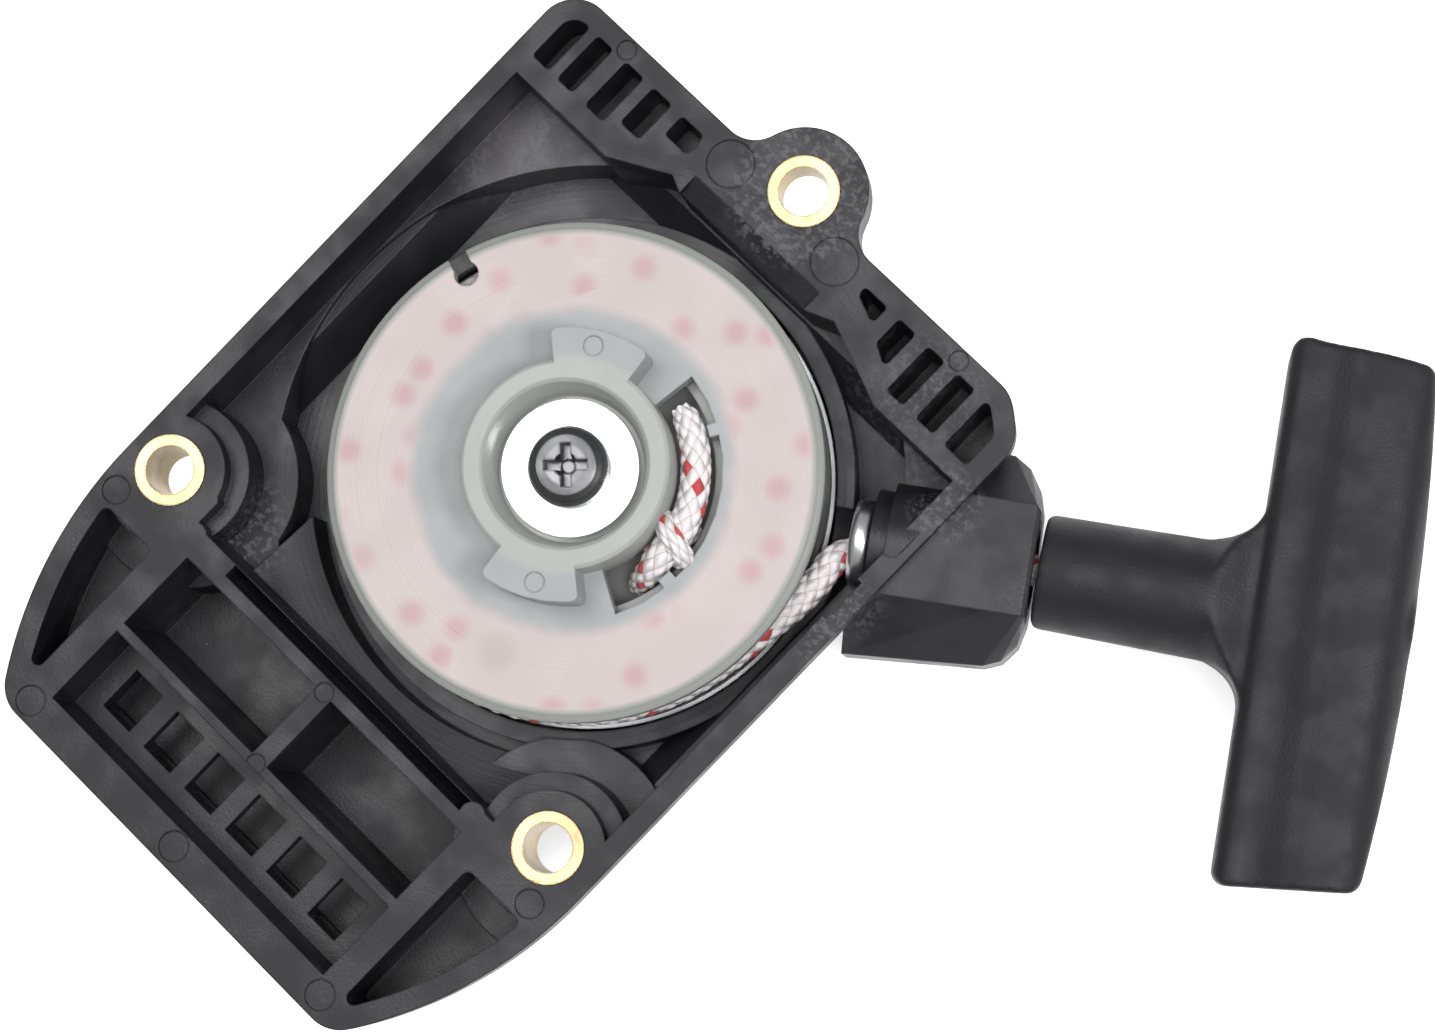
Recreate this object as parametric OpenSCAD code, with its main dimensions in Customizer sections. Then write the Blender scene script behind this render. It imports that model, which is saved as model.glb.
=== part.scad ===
// Recoil starter for a small two-stroke engine.
// Origin: the reel's turning axis where it meets the mounting rim. +Z leaves the open, engine side.
// +Y runs from the cooling grille to the top ear, and the rope leaves towards +X and +Y.

/* [Housing] */
// Left edge of the rim, from the reel axis
rim_left = 38.4; // [37.5:0.1:39]
// Right edge of the rim, from the reel axis
rim_right = 33.4; // [33:0.1:34]
// Top edge of the rim, from the reel axis
rim_top = 39; // [38.5:0.1:40]
// Bottom edge of the rim, from the reel axis
rim_bottom = 62.6; // [62:0.1:63.5]
// Thickness of the outer wall
wall = 2.4; // [2:0.1:2.8]
// Radius of the long curves that narrow the grille end
side_radius = 50; // [46:1:54]
// Depth of the housing's body below the rim
body_depth = 18; // [17.5:0.1:19]
// Depth of the round dome behind the spring, below the rim
dome_depth = 23.4; // [23.2:0.1:25]

/* [Fixing collars] */
// Distance between the left and right collars
collar_spacing = 60; // [58:0.5:61]
// Distance of the lower collars below the reel axis
collar_drop = 31.3; // [31:0.1:32]
// Distance of the top collar above the reel axis
collar_rise = 39.6; // [39:0.1:40]
// Bore of each collar, for an M5 screw
collar_bore = 5.5; // [5.3:0.1:5.8]
// Outer diameter of each collar
collar_od = 8; // [7.6:0.1:8.4]
// Length of the lower collars
collar_long = 9; // [8:0.5:10]
// Length of the top collar
collar_short = 5; // [4:0.5:6]

/* [Reel] */
// Radius of the reel's top flange
flange_radius = 27.7; // [27.2:0.1:27.8]
// Radius of the drum that the rope is wound on
drum_radius = 17; // [16:0.5:17.5]
// Outer radius of the hub collar
hub_radius = 11.5; // [11:0.1:12]
// Height of the hub collar above the rim
hub_height = 5.8; // [5:0.1:6.5]
// Outer radius of the two drive lugs
lug_radius = 15; // [14:0.1:15.5]
// Radius of the post that the reel turns on
post_radius = 5; // [4.5:0.1:5.2]

/* [Rope] */
// Diameter of the rope
rope_d = 3.5; // [3:0.1:3.6]
// Direction of the pull, from +X towards +Y, in degrees
pull_angle = 34.8; // [34:0.1:36]
// Height of the pull axis, from the rim
pull_z = -7; // [-7.5:0.1:-6.5]

/* [Handle] */
// Length of the grip bar
bar_length = 60; // [56:1:62]
// Length from the stem's end to the outer edge
handle_length = 40.5; // [39:0.5:43]
// Width of the bar along the pull
bar_width = 17.2; // [16:0.2:18]
// Thickness of the bar
bar_thick = 15; // [13:0.5:15]
// Diameter of the stem
stem_d = 12.6; // [12:0.1:13]

/* [Hidden] */
$fn = 64;
eps = 0.01;

collar_x = -3;                                   // middle of the fixing pattern
collar_left_at = [collar_x - collar_spacing / 2, -collar_drop];
collar_right_at = [collar_x + collar_spacing / 2, -collar_drop];
collar_top_at = [collar_x, collar_rise];

rim_corner = 4.5;                                // corner radius of the rim
side_start = -33;                                // where the sides start to curve in
ear_radius = 7.2;
ear_fillet = 4;
ear_depth = collar_short;
plateau_z = -9;                                  // floor beside the reel's well
well_z = -16;
well_radius = 35.9;
screw_clearance = 5;
dish_radius = 31.7;                              // the well is narrower towards the grille
dish_half = 20;
dish_edge = -33.5;
cover_z = -13.5;                                 // underside of the spring cover
chamber_z = -21;                                 // floor under the spring case
ring_inner = 28.2;
ring_wall = 2;
ring_top = -10.5;
rim_lip = 3;                                     // below this the outer wall has draft
draft_in = 1.3;                                  // how far the draft brings the wall in at taper_z
taper_z = -10;                                   // below this the walls lean in
taper_in = 4;
deep_step = 0.4;

grille_left = -24.6;
grille_right = 18.9;
grid_top = -36.8;
grid_mid = [-46.9, -48.1];
grid_bottom = -58.4;
mid_rib = [-3.9, -1.6];
shelf_z = -8;                                    // plate that carries the windows
shelf_t = 1.8;
duct_bottom = -56.6;
crescent_z = -9.8;
louvre_left_z = -6.5;                            // floors of the pockets beside the ear
louvre_right_z = -10;
pin_mark_depth = 0.25;
window_pitch = 6.7;
window_size = [4.3, 5.5];

flange_t = 2.2;
lower_flange_z = -12.4;
lower_flange_t = 2;
cavity_radius = 9;                               // recess in the hub, for washer and screw
seat_z = 0.6;                                    // washer seat in the hub recess
washer_t = 1.2;
washer_radius = 7.6;
lug_angles = [118.5, 298.5];
lug_half = 22;
window_angle = [-29, 82];
window_outer = 16.6;
window_tabs = [[-8, -2], [57, 62]];              // remains of the bridges that split the window
tab_inner = 15.5;
notch_angle = 163;

stem_gap = 0.55;                                 // from the guide's mouth to the handle
handle_at = [43.95, 27.5, pull_z];               // end of the handle's stem, at rest
eyelet_s = -19.8;                                // eyelet, along the pull axis from the stem's end
eyelet_hole = 3;
eyelet_lip = 4;                                  // radius of the lip's middle circle
lead_radius = 26.2;                              // the rope's middle where it leaves the reel
knot_pocket_s = 25;
bar_inner_s = handle_length - bar_width;
bar_shift = -0.8;                                // the bar sits a little off the stem's axis
stem_lean = -1.2;
edge_radius = 228;                               // bow of the bar's outer edge

// ---------------------------------------------------------------- helpers

// Points of an arc, from angle a0 to a1
function arc(c, r, a0, a1, n = 12) =
  [for (i = [0 : n]) let (a = a0 + (a1 - a0) * i / n) c + r * [cos(a), sin(a)]];

// Turns a child drawn along +X into the pull axis, with 0 at the stem's end
module on_pull_axis() {
  translate(handle_at) rotate([0, 0, pull_angle]) children();
}

// A bar along the pull axis, from s0 to s1
module pull_cylinder(s0, s1, r0, r1 = undef) {
  translate([s0, 0, 0]) rotate([0, 90, 0])
    cylinder(h = s1 - s0, r1 = r0, r2 = is_undef(r1) ? r0 : r1);
}

module slab(z0, z1) {
  translate([0, 0, z0]) linear_extrude(z1 - z0) children();
}

module sector(r, a0, a1) {
  polygon(concat([[0, 0]], arc([0, 0], r, a0, a1, 10)));
}

module tube(r_out, r_in, z0, z1) {
  difference() {
    translate([0, 0, z0]) cylinder(h = z1 - z0, r = r_out);
    translate([0, 0, z0 - 1]) cylinder(h = z1 - z0 + 2, r = r_in);
  }
}

// Frame across a rope: two unit vectors at right angles to direction d
function across(d) = let (n = d / norm(d), s = cross(n, [0, 0, 1])) [s / norm(s), cross(s / norm(s), n)];

// Rope along a list of points, as one closed tube. fat gives each point's share of the rope's diameter.
module rope_tube(points, fat = [], sides = 8) {
  n = len(points);
  radius = function (i) rope_d / 2 * (len(fat) > i ? fat[i] : 1);
  ring_of = function (i)
    let (dir = points[min(i + 1, n - 1)] - points[max(i - 1, 0)], f = across(dir), r = radius(i))
    [for (k = [0 : sides - 1]) points[i] + r * (cos(k * 360 / sides) * f[0] + sin(k * 360 / sides) * f[1])];
  verts = [for (i = [0 : n - 1]) each ring_of(i)];
  sides_faces = [for (i = [0 : n - 2], k = [0 : sides - 1])
    [i * sides + k, i * sides + (k + 1) % sides, (i + 1) * sides + (k + 1) % sides, (i + 1) * sides + k]];
  first = [for (k = [sides - 1 : -1 : 0]) k];
  last = [for (k = [0 : sides - 1]) (n - 1) * sides + k];
  polyhedron(points = verts, faces = concat([first], sides_faces, [last]));
}

// ---------------------------------------------------------------- housing

// Outline of the mounting rim, without the ear
module rim_outline() {
  offset(r = rim_corner) offset(delta = -rim_corner) difference() {
    intersection() {
      translate([-rim_left, -rim_bottom]) square([rim_left + rim_right, rim_bottom + rim_top]);
      union() {
        translate([-60, side_start]) square([120, 90]);
        intersection() {
          translate([rim_right - side_radius, side_start]) circle(side_radius, $fn = 160);
          translate([side_radius - rim_left, side_start]) circle(side_radius, $fn = 160);
        }
      }
    }
    // bevelled corner beside the rope guide
    translate([rim_right + 0.6, rim_top - 4]) rotate(-39) translate([-12, 0]) square([24, 12]);
  }
}

// Ear that carries the top collar, with hollow curves into the rim
module ear_outline() {
  offset(r = -ear_fillet) offset(delta = ear_fillet) {
    translate(collar_top_at) circle(ear_radius);
    translate([-22, rim_top - 8]) square([40, 8]);
  }
}

// Outline of the deep part, which stops below the louvres and stands a little inside the rim
module deep_outline() {
  offset(r = 4) offset(delta = -4 - draft_in - deep_step) intersection() {
    rim_outline();
    polygon([[-rim_left, 34], [-rim_left, -34], [-29.5, -rim_bottom], [24, -rim_bottom],
             [rim_right, -34], [rim_right, 34]]);
  }
}

module tapered_body(inset, z_low, lean) {
  hull() {
    slab(taper_z - 0.1, taper_z) offset(delta = -inset) deep_outline();
    slab(z_low, z_low + 0.1) offset(delta = -inset - lean) deep_outline();
  }
}

// Chamfered block that guides the rope out to the handle, rounded towards its mouth
module guide_block() {
  top = -1.2 - pull_z;
  // a slice across the pull axis, with its reach to each side and its share of the height
  module section(s, right, left, share) {
    translate([s, 0, 0]) rotate([90, 0, 90]) linear_extrude(0.1) scale([1, share])
      polygon([[-right, -6], [-right, 0.5], [-min(5.6, right - 0.5), top], [min(6.6, left - 0.5), top],
               [left, 0.5], [left, -6], [left - 4, -9.5], [4 - right, -9.5]]);
  }
  on_pull_axis() hull() {
    section(-stem_gap - 0.1, 6.2, 6.4, 0.9);
    section(-1.2, 8.6, 8.6, 0.95);
    section(-2.7, 10.5, 10.9, 0.98);
    section(-4.6, 11.3, 12.1, 1);
    section(-20, 12.4, 12.4, 1);
  }
}

module outer_body() {
  slab(-rim_lip, 0) rim_outline();
  hull() {
    slab(-rim_lip, -rim_lip + 0.4) offset(delta = -deep_step) rim_outline();
    slab(taper_z - 2, taper_z - 1.9) offset(delta = -draft_in) rim_outline();
  }
  slab(-ear_depth, 0) ear_outline();
  tapered_body(0, -body_depth, taper_in);
  rotate_extrude($fn = 128)
    polygon([[0, -dome_depth], [29, -dome_depth], [31.2, -dome_depth + 3], [31.2, -12], [0, -12]]);
  guide_block();
}

// The whole space inside the rim and the leaning walls
module inner_volume() {
  slab(taper_z, 1) offset(delta = -wall) rim_outline();
  tapered_body(wall, well_z, taper_in - 0.8);
}

// Space above the plateau: its upper edge follows the louvre blocks
module open_area() {
  polygon([[-40, dish_edge], [40, dish_edge], [40, 27.8], [19.1, 27.8], [9.5, 31.5], [6.3, 30.2],
           [-13.2, 30.2], [-15, 31], [-21.9, 27.4], [-40, 27.4]]);
}

// The part of the interior that the dish covers, towards the grille
module dish_side(grow = 0) {
  translate([-dish_half, dish_edge - grow, -30]) cube([2 * dish_half, -dish_edge - 20 + grow, 40]);
}

// Open space around the reel: a round well with a plateau, and a shallow dish towards the grille
module cavity() {
  intersection() {
    inner_volume();
    difference() {
      slab(well_z, 2) open_area();
      difference() {
        slab(well_z - 1, plateau_z) square(200, center = true);
        translate([0, 0, well_z - 2]) cylinder(h = 18, r = well_radius, $fn = 128);
      }
      dish_side(10);
    }
  }
  intersection() {
    rotate_extrude($fn = 128)
      polygon([[0, well_z], [dish_radius, well_z], [dish_radius, -9.6], [dish_radius + 10, -6.2],
               [dish_radius + 10, 1], [0, 1]]);
    dish_side();
  }
}

// Slanted face that leads up from the dish to the first rib of the grille
module dish_lead_in() {
  translate([-20, 0, 0]) rotate([90, 0, 90]) linear_extrude(38)
    polygon([[-33.6, 1], [-33.6, -6.5], [-35.2, -1.2], [-35.2, 1]]);
}

// Pockets in the two blocks beside the ear, with rounded corners that follow the rim
module louvre_pockets() {
  module pocket(floor_z) {
    slab(floor_z, 1) offset(r = 0.5) offset(delta = -0.5) intersection() {
      offset(delta = -wall) rim_outline();
      children();
    }
  }
  for (s = [[-36.2, -33.4, 30], [-32.1, -29.7, 30], [-27.7, -24.9, 30], [-23.4, -20.5, 31.3]])
    pocket(louvre_left_z) translate([s[0], s[2]]) square([s[1] - s[0], 36.8 - s[2]]);
  pocket(louvre_left_z) polygon([[-18.8, 33.7], [-15.6, 33.7], [-15.1, 35], [-15.6, 36.5], [-18.8, 36.5]]);
  for (s = [[18.9, 21.4], [23.3, 25.9], [27.6, 30.9]])
    pocket(louvre_right_z) translate([s[0], 30]) square([s[1] - s[0], 6.8]);
  pocket(louvre_right_z) polygon([[9, 36.8], [9.6, 35.4], [12.7, 34.2], [12.7, 36.8]]);
  pocket(louvre_right_z) polygon([[14.5, 33], [17, 31.6], [17, 36.8], [14.5, 36.8]]);
}

module crescents() {
  module pocket(x0, x1) {
    slab(crescent_z, 1) offset(r = 0.8) offset(delta = -0.8) intersection() {
      offset(delta = -wall) rim_outline();
      translate([x0, -59.6]) square([x1 - x0, 20.5]);
    }
  }
  pocket(-50, -28.1);
  pocket(22.3, 50);
}

module grille_pockets() {
  for (x = [[grille_left, mid_rib[0]], [mid_rib[1], grille_right]])
    slab(well_z, 1) translate([x[0], grid_mid[0]]) square([x[1] - x[0], grid_top - grid_mid[0]]);
  slab(shelf_z, 1) translate([grille_left, grid_bottom])
    square([grille_right - grille_left, grid_mid[1] - grid_bottom]);
  // duct behind the shelf, open through the end wall
  slab(well_z, shelf_z - shelf_t) translate([grille_left + 1.5, duct_bottom])
    square([grille_right - grille_left - 3, grid_mid[1] - duct_bottom]);
  for (i = [-2.5 : 1 : 2.5]) translate([collar_x + i * window_pitch, 0, 0]) {
    slab(shelf_z - shelf_t - 1, shelf_z + 1) translate([-window_size[0] / 2, -56.4]) square(window_size);
    slab(-15, -11) translate([-window_size[0] / 2, -rim_bottom - 2]) square([window_size[0], 9]);
  }
}

module collar_bosses() {
  for (at = [collar_left_at, collar_right_at])
    intersection() {
      union() {
        translate([at[0], at[1], well_z - 1]) cylinder(h = -well_z + 1, r = 6.3);
        translate([at[0], at[1], well_z - 1]) cylinder(h = -well_z - 1.5, r = 8.4);
        translate([at[0], at[1], well_z - 1]) cylinder(h = -well_z - 8, r = 12.4);
      }
      union() {
        slab(taper_z, 0) offset(delta = -draft_in) rim_outline();
        tapered_body(0, -body_depth, taper_in);
      }
      difference() {
        translate([-60, -60, -30]) cube([120, 60, 30]);
        translate([0, 0, -30]) cylinder(h = 40, r = ring_inner + 1);
      }
    }
}

// Pads, flush with the rim, that carry the lower collars
module collar_pads() {
  for (side = [[collar_left_at, -rim_left, -26.4], [collar_right_at, 20.7, rim_right]])
    intersection() {
      slab(taper_z, 0) offset(r = -1.5) offset(delta = 1.5) {
        translate(side[0]) circle(6.3);
        translate([side[1], -39.1]) square([side[2] - side[1], 39.1 - collar_drop + 1]);
      }
      union() {
        slab(-rim_lip, 0) rim_outline();
        slab(taper_z, 0) offset(delta = -draft_in) rim_outline();
      }
    }
}

module small_posts() {
  for (at = [[-25.9, -34.5], [18.5, -34.6]]) translate([at[0], at[1], -12]) cylinder(h = 12, r = 1.45);
}

// Marks of the mould's ejector pins: shallow round sinks in the rim's face
module pin_marks() {
  for (m = [[-11.1, 36.3, 2.7], [4.9, 36.3, 2.7], [-28.6, 37.6, 1.1], [22.4, 37.7, 1.1],
            [-26.2, -60.4, 1.7], [collar_x, -60.3, 1.7], [20.2, -60.2, 1.7],
            [-35.9, -37.1, 1.6], [29.8, -37, 1.6], [-2.8, -36.6, 1.1], [-2.8, -47.5, 1.1]])
    translate([m[0], m[1], -pin_mark_depth]) cylinder(h = 2, r = m[2]);
}

module reel_post() {
  tube(post_radius, 3.2, chamber_z - 1, seat_z);
}

// Round seat inside the wall that holds the eyelet
module eyelet_seat() {
  on_pull_axis() {
    pull_cylinder(eyelet_s + 1.3, -10, 6.2);
    pull_cylinder(eyelet_s + 3.2, -10, 7.2);
  }
}

module rope_passage() {
  on_pull_axis() {
    pull_cylinder(eyelet_s - 6, eyelet_s + 1.2, 5.3);
    pull_cylinder(eyelet_s, 1, 3.65);
    pull_cylinder(-2.2, 0, 3.65, 4.6);
  }
  // relief in the rim's inner edge beside the rope
  translate([30, 7.5, pull_z - 3]) cube([1.6, 5.5, 12]);
}

module collar_holes() {
  for (at = [collar_left_at, collar_right_at]) translate([at[0], at[1], 0]) {
    translate([0, 0, -collar_long]) cylinder(h = collar_long + 1, r = collar_od / 2);
    translate([0, 0, -40]) cylinder(h = 40 - collar_long, r = 6);
  }
  translate([collar_top_at[0], collar_top_at[1], 0]) {
    translate([0, 0, -ear_depth - 1]) cylinder(h = ear_depth + 2, r = collar_od / 2);
    translate([0, 0, -40]) cylinder(h = 40 - ear_depth, r = screw_clearance);
  }
}

module housing() {
  color([0.13, 0.13, 0.15]) difference() {
    union() {
      difference() {
        outer_body();
        cavity();
        translate([0, 0, chamber_z]) cylinder(h = 10, r = ring_inner, $fn = 128);
        crescents();
        grille_pockets();
        dish_lead_in();
      }
      collar_bosses();
      collar_pads();
      small_posts();
      tube(ring_inner + ring_wall, ring_inner, chamber_z, ring_top, $fn = 128);
      reel_post();
      intersection() {
        eyelet_seat();
        translate([-60, -60, plateau_z - 6]) cube([rim_right + 60 - 1, 120, 40]);
      }
    }
    louvre_pockets();
    pin_marks();
    collar_holes();
    rope_passage();
    // sloping face of the bar below the ear
    translate([-13, 30.1, -1.2]) rotate([24, 0, 0]) cube([19.1, 3, 4]);
  }
}

// ---------------------------------------------------------------- fixings on the housing

module fixing_collar(at, length) {
  color([0.85, 0.66, 0.32]) translate([at[0], at[1], 0]) difference() {
    translate([0, 0, -length]) cylinder(h = length + 0.1, r = collar_od / 2);
    translate([0, 0, -length - 1]) cylinder(h = length + 3, r = collar_bore / 2);
  }
}

module collar_left() fixing_collar(collar_left_at, collar_long);
module collar_right() fixing_collar(collar_right_at, collar_long);
module collar_top() fixing_collar(collar_top_at, collar_short);

// Threaded insert in the reel post
module post_insert() {
  color([0.8, 0.62, 0.3]) tube(3.2, 2.5, -12, seat_z);
}

// Plated ring that the rope runs over: a round lip on a short barrel
module rope_eyelet() {
  color([0.8, 0.8, 0.82]) on_pull_axis() translate([eyelet_s, 0, 0]) rotate([0, 90, 0]) rotate_extrude() {
    translate([eyelet_lip, 0]) circle(1.05, $fn = 32);
    translate([eyelet_hole, -0.4]) square([0.6, 4.6]);
    translate([eyelet_hole, -0.2]) square([2, 1.35]);
  }
}

// ---------------------------------------------------------------- recoil spring

module spring_case() {
  color([0.55, 0.56, 0.58]) {
    tube(27.8, 26.8, chamber_z + 0.1, cover_z - 0.05);
    tube(27.8, 6.2, chamber_z + 0.1, chamber_z + 0.9);
  }
}

// Flat spiral of strip, wound from the reel's skirt out to the case
module recoil_spring() {
  turns = 9;
  strip = 0.5;
  r_in = 9.2;
  r_out = 26.2;
  steps = 28;
  spiral = [for (i = [0 : turns * steps]) let (k = i / (turns * steps), r = r_in + (r_out - r_in) * k)
    [r * cos(360 * turns * k), r * sin(360 * turns * k)]];
  inner = [for (i = [turns * steps : -1 : 0]) spiral[i] * (1 - strip / norm(spiral[i]))];
  color([0.35, 0.37, 0.42]) slab(chamber_z + 1.2, cover_z - 0.8) polygon(concat(spiral, inner));
}

module spring_cover() {
  color([0.6, 0.61, 0.63]) tube(27.8, 12.5, cover_z, cover_z + 0.7);
}

// ---------------------------------------------------------------- reel and its fixing

module reel_body_profile() {
  polygon([
    [post_radius + 0.15, lower_flange_z - 7.2], [8.6, lower_flange_z - 7.2], [8.6, lower_flange_z],
    [27.4, lower_flange_z], [27.4, lower_flange_z + lower_flange_t],
    [drum_radius, lower_flange_z + lower_flange_t], [drum_radius, -flange_t],
    [flange_radius, -flange_t], [flange_radius, -0.6], [flange_radius - 0.9, 0],
    [hub_radius, 0], [hub_radius, hub_height - 0.4], [hub_radius - 0.4, hub_height],
    [cavity_radius + 0.4, hub_height], [cavity_radius, hub_height - 0.4], [cavity_radius - 0.9, seat_z],
    [post_radius + 0.15, seat_z]]);
}

// A drive lug that stands beside the hub collar
module lug(a) {
  slab(-1, hub_height) rotate(a) offset(r = 0.8) offset(delta = -0.8) difference() {
    sector(lug_radius, -lug_half, lug_half);
    circle(hub_radius - 1.5);
  }
}

// Hollow between hub and drum, seen through the windows in the web
module rope_chamber() {
  difference() {
    slab(lower_flange_z + lower_flange_t, -flange_t) difference() {
      circle(drum_radius - 1.6);
      circle(hub_radius - 2.4);
    }
    // ribs that carry the web between the windows
    for (a = [100, 150, 200, 250, 300]) rotate(a)
      translate([0, -0.8, lower_flange_z]) cube([20, 1.6, 20]);
  }
  slab(-flange_t - 1, 1) difference() {
    sector(window_outer, window_angle[0], window_angle[1]);
    circle(hub_radius);
    for (t = window_tabs) difference() {
      sector(window_outer + 1, t[0], t[1]);
      circle(tab_inner);
    }
  }
}

module reel() {
  color([0.86, 0.88, 0.84]) difference() {
    union() {
      rotate_extrude($fn = 128) reel_body_profile();
      for (a = lug_angles) lug(a);
    }
    rope_chamber();
    for (a = lug_angles) rotate(a + 2) translate([13.2, 0, hub_height - pin_mark_depth])
      cylinder(h = 2, r = 1.1);
    // hole that the rope leaves the chamber by
    rotate(-17) translate([12, 0, -6.3]) rotate([0, 90, 0]) cylinder(h = 8, r = rope_d / 2 + 0.2);
    // catch for the rope in the flange's edge
    rotate(notch_angle) slab(-3, 1) {
      translate([25.2, 0]) circle(1.4);
      translate([25.2, -1.1]) square([5, 2.2]);
    }
    // slot for the hooked inner end of the spring
    translate([6, -0.5, -30]) cube([4, 1, 30 + lower_flange_z - 0.5]);
  }
}

module reel_washer() {
  color([0.9, 0.9, 0.92]) translate([0, 0, seat_z + 0.05]) difference() {
    cylinder(h = washer_t, r = washer_radius);
    translate([0, 0, -1]) cylinder(h = washer_t + 2, r = 2.65);
  }
}

// Pan-head screw with a cross recess
module reel_screw() {
  head_z = seat_z + 0.05 + washer_t;
  color([0.7, 0.72, 0.75]) difference() {
    union() {
      translate([0, 0, head_z]) rotate_extrude()
        polygon([[0, 0], [4.45, 0], [4.45, 1.5], [4.1, 2.4], [3.3, 2.95], [2.2, 3.1], [0, 3.1]]);
      translate([0, 0, -11]) cylinder(h = head_z + 11, r = 2.5);
    }
    for (a = [45, 135]) rotate(a) translate([-2.4, -0.55, head_z + 1.2]) cube([4.8, 1.1, 3]);
    translate([0, 0, head_z + 0.8]) cylinder(h = 3, r1 = 0.7, r2 = 1.5);
  }
}

// ---------------------------------------------------------------- rope

module rope_winding() {
  color([0.93, 0.85, 0.85])
    tube(24.1, drum_radius + 0.1, lower_flange_z + lower_flange_t + 0.1, -flange_t - 0.1);
}

reel_knot_route = [
  [13.2, -4, -6.3], [13.3, -3.4, -4.2], [13.6, -2.2, -2.2], [13.6, -0.6, -0.8], [13.5, 1.2, -0.3],
  [13.3, 3.2, -0.4], [12.6, 5.2, -0.5], [11.5, 7.2, -0.6], [10.1, 9, -0.7], [8.2, 10.8, -0.9],
  [6.4, 12, -1.1], [4.8, 12.7, -1.3], [3.5, 13.1, -1.4]];
reel_knot_fat = [0.8, 0.8, 0.9, 1.05, 1.1, 1.1, 1.05, 1.05, 1, 1, 0.95, 0.9, 0.6];

module rope_reel_knot() {
  color([0.95, 0.93, 0.92]) rope_tube(reel_knot_route, reel_knot_fat, 12);
}

// Where the rope leaves the reel, and its bend into the eyelet
leave_angles = [for (a = [-50 : 8 : -10]) a];
rope_bend = [[26.9, 2.6, -5], [27.3, 7, -5.6], [27.2, 10.4, -6.1], [26.9, 13, -6.5], [27.8, 14.8, -6.8],
             [29.7, 16.6, -7]];

module rope_lead() {
  c = cos(pull_angle);
  s = sin(pull_angle);
  on_axis = [for (d = [-12, -8, -4, -stem_gap]) [handle_at[0] + d * c, handle_at[1] + d * s, pull_z]];
  wrapped = [for (a = leave_angles) [lead_radius * cos(a), lead_radius * sin(a), -4.6]];
  color([0.95, 0.93, 0.92]) rope_tube(concat(wrapped, rope_bend, on_axis));
}

module rope_handle_run() {
  color([0.95, 0.93, 0.92]) on_pull_axis() pull_cylinder(-stem_gap + 0.05, knot_pocket_s + 1, rope_d / 2);
}

module rope_handle_knot() {
  color([0.95, 0.93, 0.92]) on_pull_axis() translate([knot_pocket_s + 5.1, 0, 0]) sphere(r = 4.1, $fn = 32);
}

// ---------------------------------------------------------------- handle

module knot_washer() {
  color([0.75, 0.75, 0.77]) on_pull_axis() difference() {
    pull_cylinder(knot_pocket_s + 0.05, knot_pocket_s + 1, 4.9);
    pull_cylinder(knot_pocket_s - 1, knot_pocket_s + 2, rope_d / 2 + 0.05);
  }
}

// Flat outline of the T, with the pull along +X. The bar is bowed outwards and leans in at its ends.
module handle_outline() {
  offset(r = -4.5) offset(delta = 4.5) offset(r = 1.5) offset(delta = -1.5) {
    rotate(stem_lean) translate([0, -stem_d / 2 - 0.5]) square([bar_inner_s + 2, stem_d + 1]);
    translate([0, bar_shift]) intersection() {
      polygon([[bar_inner_s, -bar_length / 2], [handle_length, -bar_length / 2 + 1.8],
               [handle_length, bar_length / 2 - 1.8], [bar_inner_s, bar_length / 2]]);
      translate([handle_length - edge_radius, 0]) circle(edge_radius, $fn = 360);
    }
  }
}

// Side view of the bar: full at the outer edge, with a shallow valley near the inner edge
module handle_side() {
  h = bar_thick / 2;
  half = concat(
    [[-1, stem_d / 2 + 0.5], [bar_inner_s - 5, stem_d / 2 + 0.5], [bar_inner_s, h - 2.6], [bar_inner_s + 0.8, h - 1.7]],
    [[bar_inner_s + 2, h - 1.3], [bar_inner_s + 3.2, h - 1.6], [bar_inner_s + 4.6, h - 1.4]],
    [[bar_inner_s + 7, h - 0.5], [bar_inner_s + 9.5, h]],
    arc([handle_length - 5, h - 5], 5, 90, 0, 6));
  polygon(concat(half, [for (i = [len(half) - 1 : -1 : 0]) [half[i][0], -half[i][1]]]));
}

module handle_grip() {
  color([0.12, 0.12, 0.13]) on_pull_axis() difference() {
    intersection() {
      translate([0, 0, -20]) linear_extrude(40) handle_outline();
      rotate([90, 0, 0]) translate([0, 0, -40]) linear_extrude(80) handle_side();
      union() {
        translate([bar_inner_s - 1.5, -50, -20]) cube([60, 100, 40]);
        rotate([0, 0, stem_lean]) pull_cylinder(-1, bar_inner_s, stem_d / 2, stem_d / 2 + 0.4);
        // flare where the stem meets the bar
        pull_cylinder(bar_inner_s - 5, bar_inner_s, stem_d / 2, stem_d / 2 + 4.5);
      }
    }
    pull_cylinder(-1, knot_pocket_s + 1, rope_d / 2 + 0.1);
    pull_cylinder(knot_pocket_s, handle_length + 5, 5);
  }
}

// Plug that closes the knot pocket, following the bar's outer edge
module handle_cap() {
  color([0.12, 0.12, 0.13]) on_pull_axis() intersection() {
    pull_cylinder(handle_length - 4, handle_length + 1, 4.95);
    translate([0, 0, -20]) linear_extrude(40) handle_outline();
  }
}

housing();
collar_left();
collar_right();
collar_top();
post_insert();
rope_eyelet();
spring_case();
recoil_spring();
spring_cover();
reel();
reel_washer();
reel_screw();
rope_winding();
rope_reel_knot();
rope_lead();
rope_handle_run();
rope_handle_knot();
knot_washer();
handle_grip();
handle_cap();
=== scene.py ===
# %% [markdown]
# # A pull starter, lying on its back
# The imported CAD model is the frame: every body, bore and joint is already in place.
# Blender adds what a solid can't say: braided rope, moulded nylon, wear, brass and chrome.
# Everything is in metres, with Z out of the open side and the reel's axis through the origin.

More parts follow.
